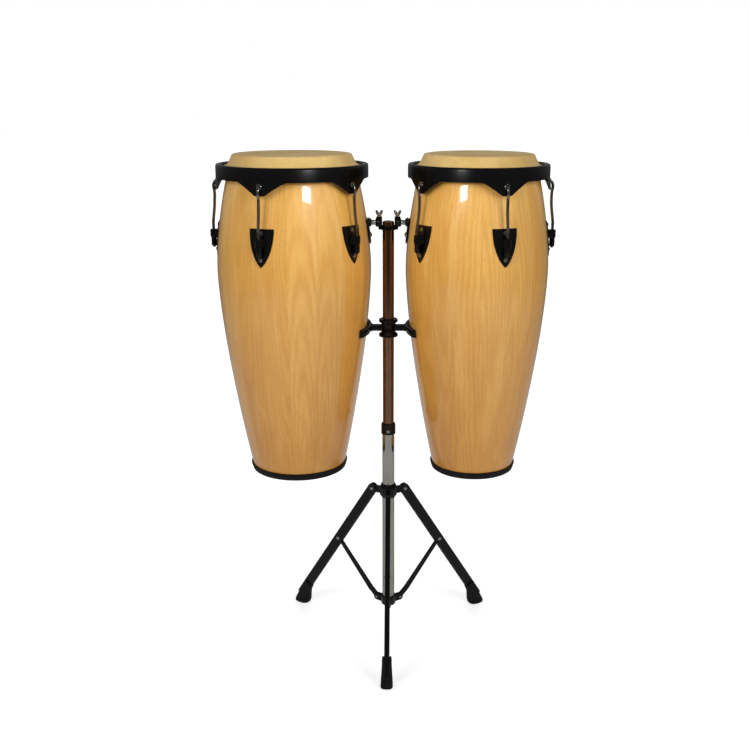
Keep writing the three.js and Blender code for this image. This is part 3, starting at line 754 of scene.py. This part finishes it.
def rod(drum, number, angle):
    hook = drum.rim + TAB_FLARE + ROD_R + 2
    made = Shape()
    path = [
        (0, -drum.rim + 7, HOOK_Z - 1),
        (0, -drum.rim - 1, HOOK_Z),
        (0, -hook + 2, HOOK_Z - 4),
        (0, -hook, HOOK_Z - 12),
        (0, -hook + 2, HOOK_Z - 26),
        (0, -drum.rod + 5, HOOK_Z - 42),
        (0, -drum.rod + 4, HOOK_Z - 58),
        (0, -drum.rod, HOOK_Z - 88),
    ]
    bottom = BOSS_Z - 22
    turns = 50
    start = HOOK_Z - 90
    path += [(0, -drum.rod, start - (start - bottom) * i / turns) for i in range(turns + 1)]
    made.sweep(path, ROD_R, 14, 4, drum.place(angle), thread=(BOSS_Z + 24, 0.35))
    name = f"{drum.side}_rod_{number}"
    piece(name, made, ROD_METAL, f"{drum.side}_rim", f"{drum.side}_tension_rod_{number}", slot="chrome")
    eye = Shape()
    at = drum.place(angle) @ Matrix.Translation((0, -drum.rim - TAB_FLARE * 0.6, HOOK_Z)) @ OUT_FRONT
    eye.lathe(pipe(ROD_R + 0.3, ROD_R + 2.6, -0.5, 1.2), 28, at)
    piece(f"{name}_grommet", eye, PLATED, f"{drum.side}_rim", slot="steel")


def nut(drum, number, angle):
    """A long hexagon nut with chamfered ends and a round flange under the boss."""
    made = Shape()
    at = drum.place(angle) @ Matrix.Translation((0, -drum.rod, 0))
    low, high = BOSS_Z - 19, BOSS_Z - GAP
    bore = ROD_R + 0.15
    # Up the outside: a radius, a height, and whether the nut is six-sided there.
    profile = [
        (bore, low, False),
        (NUT_R * 0.82, low, False),
        (NUT_R, low + 1.2, True),
        (NUT_R, high - 3.4, True),
        (NUT_R * 0.9, high - 2.6, False),
        (NUT_R, high - 2, False),
        (NUT_R, high - 0.4, False),
        (NUT_R - 0.4, high, False),
        (bore, high, False),
    ]
    steps, side = 48, math.pi / 3
    rings = []
    for radius, z, six in profile:
        line = []
        for k in range(steps):
            a = 2 * math.pi * k / steps
            r = radius * math.cos(side / 2) / math.cos(a % side - side / 2) if six else radius
            line.append(at @ Vector((r * math.cos(a), r * math.sin(a), z)))
        rings.append(made.ring(line))
    made.skin(rings, closed=True)
    name, node = f"{drum.side}_hex_nut_{number}", f"{drum.side}_tuning_nut_{number}"
    piece(name, made, BLACK, f"{drum.side}_nut_{number}", node, slot="black_metal")


def mount(drum):
    """The plate that faces the post, its socket, the rod that goes into the cross head, and one bolt."""
    low, high, half = MOUNT_Z - 46, MOUNT_Z + 8, 22

    def outline(depth):
        share = max(0.0, (depth - 34) / (high - low - 34))
        return half * max(0.03, 1 - share**2.4) ** 0.5

    made = Shape()
    hugging_plate(made, drum, drum.to_post, high, high - low, outline, 3.5)
    body = f"{drum.side}_drum"
    piece(f"{drum.side}_mounting_plate", made, BLACK, body, f"{drum.side}_mount_plate", slot="black_metal")
    face = abs(drum.x)  # the post's axis, seen from the drum's
    level = drum.place(drum.to_post) @ Matrix.Translation((0, 0, MOUNT_Z)) @ OUT_FRONT
    wall_at = drum.radius(MOUNT_Z - SOCKET_R) + GAP + 0.6
    socket = Shape()
    socket.lathe(cylinder(SOCKET_R - 1, wall_at, face - SOCKET_OUT - 9, 1.2), 40, level)
    socket.lathe(cylinder(SOCKET_R + 1.5, wall_at, wall_at + 3, 0.8), 40, level)
    piece(f"{drum.side}_mount_socket", socket, BLACK, body, slot="black_metal")
    arm = Shape()
    arm.lathe(cylinder(MOUNT_R, wall_at + 1, face - 14.5, 0.8), 36, level)
    piece(f"{drum.side}_mount_arm", arm, PLATED, body, slot="steel")
    bolts = Shape()
    bolts.lathe(dome(5, 3.6), 28, surface(drum, drum.to_post, MOUNT_Z - 27, 3.5))
    bolts.lathe(cylinder(6.4, -0.6, 0.8, 0.3), 28, surface(drum, drum.to_post, MOUNT_Z - 27, 3.5))
    piece(f"{drum.side}_mount_bolt", bolts, PLATED, body, slot="steel")


for drum in DRUMS:
    shell(drum)
    bottom_ring(drum)
    head(drum)
    rim(drum)
    mount(drum)
    for i, lug_angle in enumerate(drum.lugs):
        lug(drum, i + 1, lug_angle)
        rod(drum, i + 1, lug_angle)
        nut(drum, i + 1, lug_angle)


# ---------------------------------------------------------------- the post
def tubes():
    for name, radius, body, look in (
        ("upper_tube", POST_R, "post", UPPER_METAL),
        ("lower_tube", LOWER_R, "base", LOWER_METAL),
    ):
        low, high = (corner.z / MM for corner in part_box(name))
        made = Shape()
        made.lathe(pipe(radius - TUBE_WALL, radius, low, high), 96)
        piece(f"{name}_chrome", made, look, body, name, slot="chrome")
    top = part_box("upper_tube")[1].z / MM
    plug = Shape()
    r = POST_R - TUBE_WALL - 0.1
    side = [(0, top - 12), (r, top - 12), (r, top - 0.6)]
    cap = [(r - 1, top + 0.8), (r * 0.5, top + 2), (0, top + 2.3)]
    plug.lathe(side + cap, 64)
    piece("post_end_plug", plug, PLATED, "post", slot="steel")


def cross_head():
    made = Shape()
    made.lathe(pipe(POST_R + 0.3, POST_R + 4, MOUNT_Z - 16, MOUNT_Z - 6, 0.8), 72)
    for sign in (-1, 1):
        side = Matrix.Rotation(0 if sign > 0 else math.pi, 4, "Z")
        level = side @ Matrix.Translation((0, 0, MOUNT_Z)) @ ALONG_X
        made.lathe(
            [
                (MOUNT_R + 0.5, POST_R + 1.5),
                (SOCKET_R - 1, POST_R + 0.8),
                (SOCKET_R, POST_R + 2.4),
                (SOCKET_R, SOCKET_OUT - 3.4),
                (SOCKET_R - 0.4, SOCKET_OUT - 1),
                (SOCKET_R - 1.6, SOCKET_OUT),
                (MOUNT_R + 0.9, SOCKET_OUT),
                (MOUNT_R + 0.5, SOCKET_OUT - 1),
            ],
            56,
            level,
        )
        made.prism(rounded(POST_R - 0.5, -6, POST_R + 9, 6, 2), MOUNT_Z - 15, MOUNT_Z - 6.5, side)
        upright = side @ Matrix.Translation((SCREW_AT, 0, 0))
        made.lathe(pipe(THREAD_R, 6.5, MOUNT_Z + 7, MOUNT_Z + 13, 0.7), 40, upright)
    piece("cross_head_casting", made, BLACK, "post", "cross_head", bevel=0.3, slot="black_metal")


def wing_screw(name, node, at, hub, low, high, spread, top, thick):
    """A shank, a round hub and two wings that spread upwards and end round."""
    made = Shape()
    made.lathe(cylinder(SHANK_R, 0, low + 1, 0.5), 24, at)
    lower = [(0, low), (hub * 0.8, low), (hub, low + 0.8)]
    upper = [(hub * 0.92, high - 0.6), (hub * 0.6, high), (0, high)]
    made.lathe(lower + upper, 36, at)
    upright = at @ Matrix.Rotation(QUARTER, 4, "X")
    for sign in (-1, 1):
        tip = (sign * (spread - 3), top - 3)
        root = (sign * hub * 0.25, (low + high) / 2)
        halfway = (tip[0] * 0.7, tip[1] * 0.5 + root[1] * 0.5)
        made.prism(link(root, tip, 2.9), -thick / 2, thick / 2, upright)
        made.prism(link(root, halfway, 3.3), -thick * 0.62, thick * 0.62, upright)
    piece(name, made, PLATED, node, node, bevel=0.7, slot="steel")


def screws():
    for drum in DRUMS:
        at = Matrix.Translation((drum.sign * SCREW_AT, 0, MOUNT_Z + MOUNT_R + 0.4))
        name, node = f"{drum.side}_drum_clamp_screw", f"{drum.side}_wing_screw"
        wing_screw(name, node, at, hub=5, low=8.5, high=13, spread=8.5, top=21, thick=3.2)
    for name, node, y, z in (
        ("height_clamp_screw", "height_screw", LOWER_R + 0.4, CLAMP_Z + 12),
        ("leg_hub_screw", "hub_screw", LOWER_R + 0.8, LEG_PIVOT[1]),
    ):
        at = Matrix.Translation((0, y, z)) @ OUT_BACK
        wing_screw(name, node, at, hub=6, low=13, high=19, spread=15, top=27, thick=3.6)


def height_clamp():
    made = Shape()
    inner = LOWER_R + 0.3
    made.lathe(
        [
            (inner, CLAMP_Z + 0.6),
            (inner + 0.5, CLAMP_Z),
            (CLAMP_R - 0.8, CLAMP_Z),
            (CLAMP_R, CLAMP_Z + 0.8),
            (CLAMP_R, CLAMP_TOP - 5),
            (CLAMP_R - 0.5, CLAMP_TOP - 4.4),
            (CLAMP_R - 0.5, CLAMP_TOP - 1.4),
            (CLAMP_R - 2, CLAMP_TOP),
            (POST_R + 0.4, CLAMP_TOP),
            (POST_R + 0.4, CLAMP_TOP - 4),
            (inner, CLAMP_TOP - 4.6),
        ],
        80,
    )
    back = Matrix.Translation((0, 0, CLAMP_Z + 12)) @ OUT_BACK
    made.lathe(pipe(THREAD_R, 7, LOWER_R + 1, LOWER_R + 12, 0.8), 40, back)
    piece("height_clamp_collar", made, BLACK, "base", "height_clamp", slot="black_metal")
    stud = Shape()
    stud.lathe(dome(4.2, 1.4), 28, Matrix.Translation((0, -CLAMP_R + 0.2, CLAMP_Z + 9)) @ OUT_FRONT)
    piece("height_clamp_rivet", stud, PLATED, "base", slot="steel")


# ---------------------------------------------------------------- the lower support
def cradle(made, drum, radius, thick, height, round_edge):
    """A curved strip that hugs the leaning shell on the side that faces the post."""
    lean = (drum.radius(SUPPORT_Z + 10) - drum.radius(SUPPORT_Z - 10)) / 20
    steps = 40
    section = rounded(radius, -height / 2, radius + thick, height / 2, round_edge)
    rings = []
    for i in range(steps + 1):
        turn = CRADLE_HALF * (2 * i / steps - 1)
        place = drum.place(drum.to_post + turn)
        rings.append(made.ring(place @ Vector((0, -r - lean * z, SUPPORT_Z + z)) for r, z in section))
    made.skin(rings, caps=True)


def support():
    low, high = SUPPORT_Z - SUPPORT_HALF, SUPPORT_Z + SUPPORT_HALF
    made = Shape()
    bore = POST_R + 0.4
    made.lathe(
        [
            (bore, low + 0.6),
            (bore + 0.6, low),
            (POST_R + 7.4, low),
            (POST_R + 8.4, low + 1),
            (POST_R + 8.5, low + 5),
            (POST_R + 7.6, low + 6.5),
            (POST_R + 3.8, low + 9.5),
            (POST_R + 3, low + 11.5),
            (POST_R + 3, high - 11.5),
            (POST_R + 3.8, high - 9.5),
            (POST_R + 7.6, high - 6.5),
            (POST_R + 8.5, high - 5),
            (POST_R + 8.4, high - 1),
            (POST_R + 7.4, high),
            (bore + 0.6, high),
            (bore, high - 0.6),
        ],
        88,
    )
    back = Matrix.Translation((0, 0, SUPPORT_Z)) @ OUT_BACK
    made.lathe(pipe(THREAD_R, 7, POST_R + 1, POST_R + 12, 0.8), 40, back)
    for drum in DRUMS:
        r = drum.radius(SUPPORT_Z) + 2 * GAP + PAD_THICK
        reach = abs(drum.x) - r
        side = Matrix.Rotation(0 if drum.sign > 0 else math.pi, 4, "Z") @ ALONG_X
        level = side @ Matrix.Translation((-SUPPORT_Z, 0, 0))
        made.prism(rounded(-7, -7, 7, 7, 2.2), POST_R + 2, reach - 1, level)
        back_of_cradle = reach - CRADLE_THICK
        made.lathe(cylinder(9.2, back_of_cradle - 3, back_of_cradle + 1, 0.8), 36, level)
        cradle(made, drum, r, CRADLE_THICK, CRADLE_HEIGHT, 1.6)
    piece("support_yoke", made, BLACK, "support", "support_bracket", slot="black_metal")
    for drum in DRUMS:
        pad = Shape()
        cradle(pad, drum, drum.radius(SUPPORT_Z) + GAP + 0.4, PAD_THICK - 0.2, CRADLE_HEIGHT + 1.5, 1.8)
        piece(f"{drum.side}_cradle_pad", pad, RUBBER, "support", slot="rubber")
    pinch = Shape()
    pinch.lathe(socket_head(4.2, 4, POST_R + 12), 32, back)
    piece("support_pinch_screw", pinch, PLATED, "support", slot="steel")


# ---------------------------------------------------------------- the tripod
def leg_hub():
    low, high = LEG_PIVOT[1] - 14, LEG_PIVOT[1] + 20
    bore = LOWER_R + 0.4
    made = Shape()
    made.lathe(
        [
            (bore, low + 0.5),
            (bore + 0.5, low),
            (HUB_R - 5, low),
            (HUB_R - 4, low + 1),
            (HUB_R, low + 7),
            (HUB_R, high - 9),
            (HUB_R - 0.8, high - 6),
            (HUB_R - 3, high - 0.8),
            (HUB_R - 4, high),
            (bore + 0.5, high),
            (bore, high - 0.5),
        ],
        80,
    )
    ear = link((HUB_R - 2, LEG_PIVOT[1]), LEG_PIVOT, 8.3)
    for _, angle in LEGS:
        made.prism(ear, -EAR_THICK / 2, EAR_THICK / 2, radial(angle))
    back = Matrix.Translation((0, 0, LEG_PIVOT[1])) @ OUT_BACK
    made.lathe(pipe(THREAD_R, 7.5, HUB_R - 3, HUB_R + 8, 0.8), 40, back)
    piece("leg_hub_casting", made, BLACK, "leg_slider", "leg_hub", bevel=0.7, slot="black_metal")


def foot_hub():
    low, high = (corner.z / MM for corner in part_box("foot_hub"))
    bore = LOWER_R + 0.3
    made = Shape()
    made.lathe(
        [
            (0, low),
            (LOWER_R - 1, low),
            (LOWER_R + 1.6, low + 1.4),
            (LOWER_R + 3, low + 4),
            (LOWER_R + 3.5, high - 0.8),
            (LOWER_R + 2.8, high),
            (bore, high),
            (bore, low + 6.5),
            (0, low + 6.5),
        ],
        72,
    )
    half = BRACE_THICK / 2 + 0.5
    rivets = Shape()
    for _, angle in LEGS:
        cheek = link((LOWER_R + 1, FOOT_PIVOT[1] - 1), FOOT_PIVOT, 7.6)
        for near in (-6, half):
            made.prism(cheek, near, near + 6 - half, radial(angle))
        pivot = radial(angle) @ Matrix.Translation((*FOOT_PIVOT, 0))
        for turn in (math.pi, 0):
            rivets.lathe(dome(3.4, 1.4, 6), 22, pivot @ Matrix.Rotation(turn, 4, "X"))
    piece("foot_hub_casting", made, BLACK, "base", "foot_hub", bevel=0.5, slot="black_metal")
    piece("foot_hub_rivets", rivets, PLATED, "base", slot="steel")


def leg(side, angle):
    """A pressed channel, open towards the post, with a round top and round bends."""
    at = leg_space(angle)
    half, deep, r = LEG_WIDTH / 2, LEG_DEPTH / 2, 2.6
    made = Shape()
    bend, low = half - r, -deep + r  # where the web's two bends have their middles
    inner_r = r - LEG_WALL
    section = [(half, deep)]
    section += arc(bend, low, r, 0, -QUARTER, 6)
    section += arc(-bend, low, r, -QUARTER, -math.pi, 6)
    section += [(-half, deep), (-half + LEG_WALL, deep)]
    section += arc(-bend, low, inner_r, -math.pi, -QUARTER, 6)
    section += arc(bend, low, inner_r, -QUARTER, 0, 6)
    section += [(half - LEG_WALL, deep)]
    rings = []
    heights = [-LEG_BELOW * i / 12 for i in range(12, 0, -1)] + [0.0]
    for z in heights:
        rings.append(made.ring(at @ Vector((x, y, z)) for x, y in section))
    top = 14
    for i in range(1, top + 1):
        # The round top: each higher slice of the channel is shallower, and its web has been cut away.
        rise = i / top * deep * 0.995
        reach = math.sqrt(deep**2 - rise**2)
        rings.append(made.ring(at @ Vector((x, max(-reach, min(reach, y)), rise)) for x, y in section))
    made.skin(rings, caps=True)
    piece(f"{side}_leg_channel", made, BLACK, f"{side}_leg", f"{side}_leg", slot="black_metal")
    along = math.hypot(BRACE_PIVOT[0] - LEG_PIVOT[0], BRACE_PIVOT[1] - LEG_PIVOT[1])
    rivets = Shape()
    for z in (0, -along):
        for sign in (-1, 1):
            out = Matrix.Rotation(sign * QUARTER, 4, "Y")
            rivets.lathe(dome(4.6, 1.8, half), 28, at @ Matrix.Translation((0, 0, z)) @ out)
        rivets.lathe(cylinder(3, -half, half), 20, at @ Matrix.Translation((0, 0, z)) @ ALONG_X)
    piece(f"{side}_leg_rivets", rivets, PLATED, f"{side}_leg", slot="steel")


def brace(side, angle):
    knee = (FOOT_PIVOT[0] + 19, FOOT_PIVOT[1] + 17)
    made = Shape()
    half = BRACE_THICK / 2
    made.prism(link(FOOT_PIVOT, knee, BRACE_HALF), -half, half, radial(angle))
    upper = link(knee, BRACE_PIVOT, BRACE_HALF, BRACE_END_HALF)
    made.prism(upper, -half + 0.02, half - 0.02, radial(angle))
    body = f"{side}_brace"
    piece(f"{side}_brace_link", made, BLACK, body, body, bevel=0.8, slot="black_metal")


def boot(side, angle):
    """A moulded boot: a collar round the leg, a swelling inner side and a flat sole."""
    r = LEG_PIVOT[0] + math.sin(LEG_LEAN) * LEG_BELOW
    z = LEG_PIVOT[1] - math.cos(LEG_LEAN) * LEG_BELOW
    front_top, back_top = z + 42, z + 31
    # Heights and radii up the outer side and up the side that faces the post.
    front = [(0, r + 13), (2, r + 17), (8, r + 16.4), (front_top - 1.5, r - 12), (front_top, r - 13.5)]
    back = [(0, r - 17.5), (2, r - 21.5), (10, r - 24.4), (z + 12, r - 26.5)]
    back += [(back_top - 1, r - 34.3), (back_top, r - 33.8)]
    made = Shape()
    steps = 26
    place = Matrix.Rotation(angle, 4, "Z")
    rings = []
    for i in range(steps + 1):
        t = i / steps
        zf, zb = front_top * t, back_top * t
        rf, rb = interpolate(front, zf), interpolate(back, zb)
        width = 11 * (1.26 - 0.34 * t)
        if t < 0.03:
            width -= 1.6  # the sole's soft edge
        if 0.84 < t < 0.95:
            width += 0.5  # the bead round the collar
        line = []
        for k in range(32):
            a = 2 * math.pi * k / 32
            across = squarish(math.cos(a)) * width
            share = 0.5 + 0.5 * squarish(math.sin(a))
            line.append(place @ Vector((across, -(rb + (rf - rb) * share), zb + (zf - zb) * share)))
        rings.append(made.ring(line))
    made.skin(rings, caps=True)
    piece(f"{side}_boot", made, RUBBER, f"{side}_leg", f"{side}_foot", slot="rubber")


def squarish(value):
    """Turns the sine and cosine of a circle into those of a rounded square."""
    return math.copysign(abs(value) ** 0.6, value)


def interpolate(points, at):
    """The value at a place along a list of (place, value)."""
    for (a, va), (b, vb) in zip(points, points[1:]):
        if at <= b:
            return va + (vb - va) * max(0.0, (at - a) / (b - a))
    return points[-1][1]


tubes()
cross_head()
screws()
height_clamp()
support()
leg_hub()
foot_hub()
for leg_side, leg_angle in LEGS:
    leg(leg_side, leg_angle)
    brace(leg_side, leg_angle)
    boot(leg_side, leg_angle)


# ---------------------------------------------------------------- camera, floor and light
def camera():
    """Looks slightly down at the stand from in front of the post."""
    data = bpy.data.cameras.new("camera")
    data.lens = 48.03
    data.sensor_width = 36
    data.shift_x = -0.0178
    data.clip_end = 100
    made = bpy.data.objects.new("camera", data)
    bpy.context.scene.collection.objects.link(made)
    turn = math.radians(0.82)
    distance, height, pitch = 2.1935, 1.2575, math.radians(15.73)
    made.location = POST + Vector((distance * math.sin(turn), -distance * math.cos(turn), height))
    made.rotation_euler = (QUARTER - pitch, 0, turn)
    bpy.context.scene.camera = made


def floor():
    """A plain white floor that fades into the white round it."""
    mesh = bpy.data.meshes.new("floor")
    shape = bmesh.new()
    bmesh.ops.create_grid(shape, x_segments=8, y_segments=8, size=30)
    shape.to_mesh(mesh)
    shape.free()
    made = bpy.data.objects.new("floor", mesh)
    bpy.context.scene.collection.objects.link(made)
    look = Look("studio_floor", Roughness=0.9, Specular_IOR_Level=0.1)
    look.shader.inputs["Base Color"].default_value = (0.45, 0.45, 0.45, 1)
    reach = look.node("ShaderNodeVectorMath", operation="LENGTH")
    look.put(reach.inputs[0], look.place)
    away = look.ramp(look.math("DIVIDE", reach.outputs["Value"], 6.0), (0.08, 0.0), (0.6, 1.0))
    look.shader.inputs["Emission Color"].default_value = (1, 1, 1, 1)
    seen = look.node("ShaderNodeLightPath").outputs["Is Camera Ray"]
    look.set("Emission Strength", look.math("MULTIPLY", look.span(away, 0.62, 1.0), seen))
    mesh.materials.append(look.made)


def area_light(name, place, target, width, height, watts):
    data = bpy.data.lights.new(name, "AREA")
    data.shape = "RECTANGLE"
    data.size, data.size_y = width, height
    data.energy = watts
    made = bpy.data.objects.new(name, data)
    bpy.context.scene.collection.objects.link(made)
    made.location = place
    made.rotation_euler = (Vector(target) - Vector(place)).to_track_quat("-Z", "Y").to_euler()
    return made


def studio():
    """White all round for the camera, dim for everything else, with a small key and two large fills."""
    world = bpy.data.worlds.new("studio")
    world.use_nodes = True
    tree = world.node_tree
    background = tree.nodes["Background"]
    seen = tree.nodes.new("ShaderNodeLightPath").outputs["Is Camera Ray"]
    strength = tree.nodes.new("ShaderNodeMapRange")
    strength.inputs["To Min"].default_value = 0.2
    strength.inputs["To Max"].default_value = 1.0
    tree.links.new(seen, strength.inputs["Value"])
    tree.links.new(strength.outputs[0], background.inputs["Strength"])
    background.inputs["Color"].default_value = (1, 1, 1, 1)
    bpy.context.scene.world = world
    bpy.context.scene.view_settings.view_transform = "Standard"
    key = area_light("key_softbox", (0.0, -0.36, 1.16), (0, 0, 1.03), 0.1, 0.055, 0.36)
    fills = [
        area_light(f"fill_{side}", (side * 2.1, -2.2, 1.9), (0, 0, 0.8), 1.8, 1.8, 72) for side in (-1, 1)
    ]
    back = area_light("back_softbox", (0.0, 2.2, 1.9), (0, 0, 0.8), 2.2, 1.4, 48)
    for light in fills + [back]:
        light.visible_glossy = False
    key.visible_camera = False


camera()
floor()
studio()
